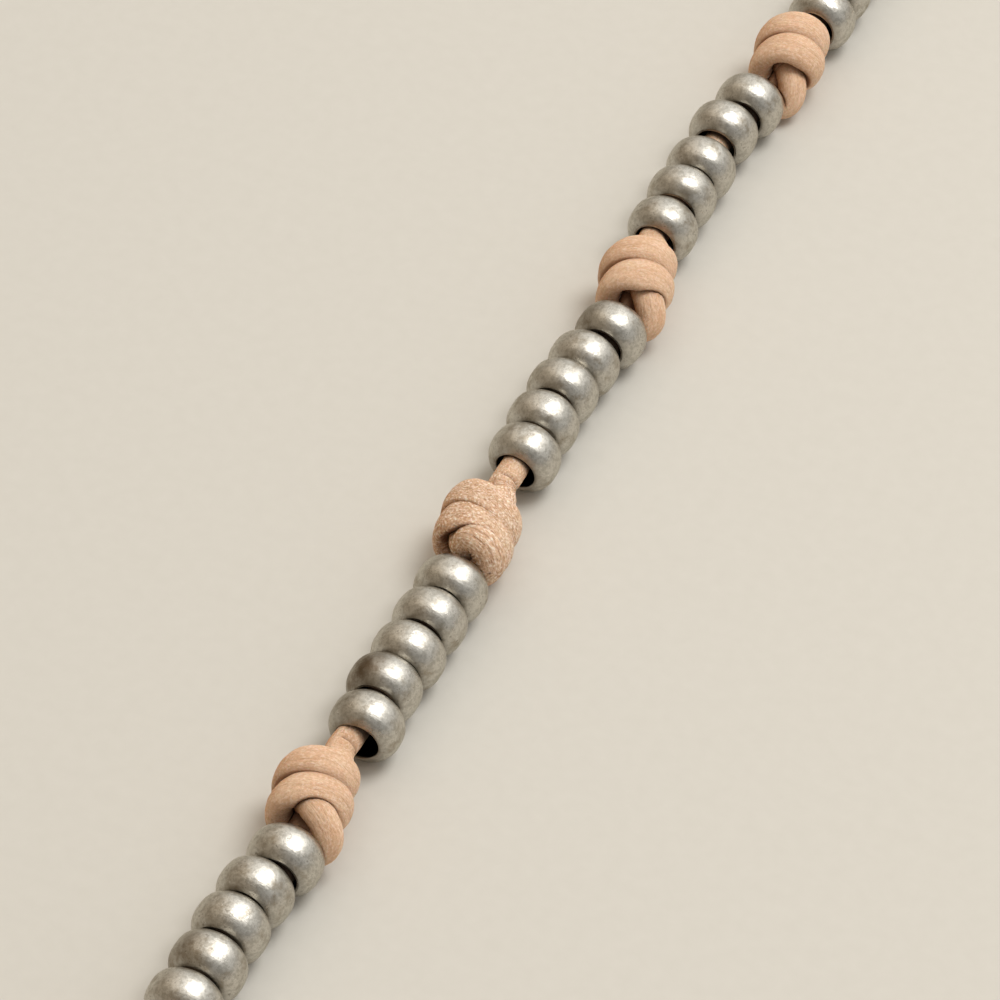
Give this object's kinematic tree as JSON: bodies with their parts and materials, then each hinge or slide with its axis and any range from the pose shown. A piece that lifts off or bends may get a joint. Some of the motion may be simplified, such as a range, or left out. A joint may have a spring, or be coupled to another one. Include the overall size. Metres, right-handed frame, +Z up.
{
  "type": "beaded leather cord necklace",
  "caption": "Necklace of knotted natural leather cord with small aged-silver round beads in groups between the knots, laid flat as one closed loop.",
  "frame": {"origin": "middle of the loop's box, on the plane that the beads rest on", "axes": "+Z up from that plane, +Y along the loop's long side, +X across the loop"},
  "size_m": [0.0852, 0.1902, 0.0057],
  "materials": {
    "aged_silver": "satin, aged",
    "leather": "undyed, unpolished"
  },
  "bodies": {
    "root": {"bead_01": "aged_silver", "bead_02": "aged_silver", "bead_03": "aged_silver", "bead_04": "aged_silver", "bead_05": "aged_silver", "bead_06": "aged_silver", "bead_07": "aged_silver", "bead_08": "aged_silver", "bead_09": "aged_silver", "bead_10": "aged_silver", "bead_11": "aged_silver", "bead_12": "aged_silver", "bead_13": "aged_silver", "bead_14": "aged_silver", "bead_15": "aged_silver", "bead_16": "aged_silver", "bead_17": "aged_silver", "bead_18": "aged_silver", "bead_19": "aged_silver", "bead_20": "aged_silver", "bead_21": "aged_silver", "bead_22": "aged_silver", "bead_23": "aged_silver", "bead_24": "aged_silver", "bead_25": "aged_silver", "bead_26": "aged_silver", "bead_27": "aged_silver", "bead_28": "aged_silver", "bead_29": "aged_silver", "bead_30": "aged_silver", "bead_31": "aged_silver", "bead_32": "aged_silver", "bead_33": "aged_silver", "bead_34": "aged_silver", "bead_35": "aged_silver", "bead_36": "aged_silver", "bead_37": "aged_silver", "bead_38": "aged_silver", "bead_39": "aged_silver", "bead_40": "aged_silver", "bead_row_1": "aged_silver", "bead_row_2": "aged_silver", "bead_row_3": "aged_silver", "bead_row_4": "aged_silver", "bead_row_5": "aged_silver", "bead_row_6": "aged_silver", "bead_row_7": "aged_silver", "bead_row_8": "aged_silver", "barrel_clasp": "aged_silver", "cord_stretch_1": "leather", "cord_stretch_2": "leather", "cord_stretch_3": "leather", "cord_stretch_4": "leather", "cord_stretch_5": "leather", "cord_stretch_6": "leather", "cord_stretch_7": "leather", "cord_stretch_8": "leather"}
  },
  "joints": []
}
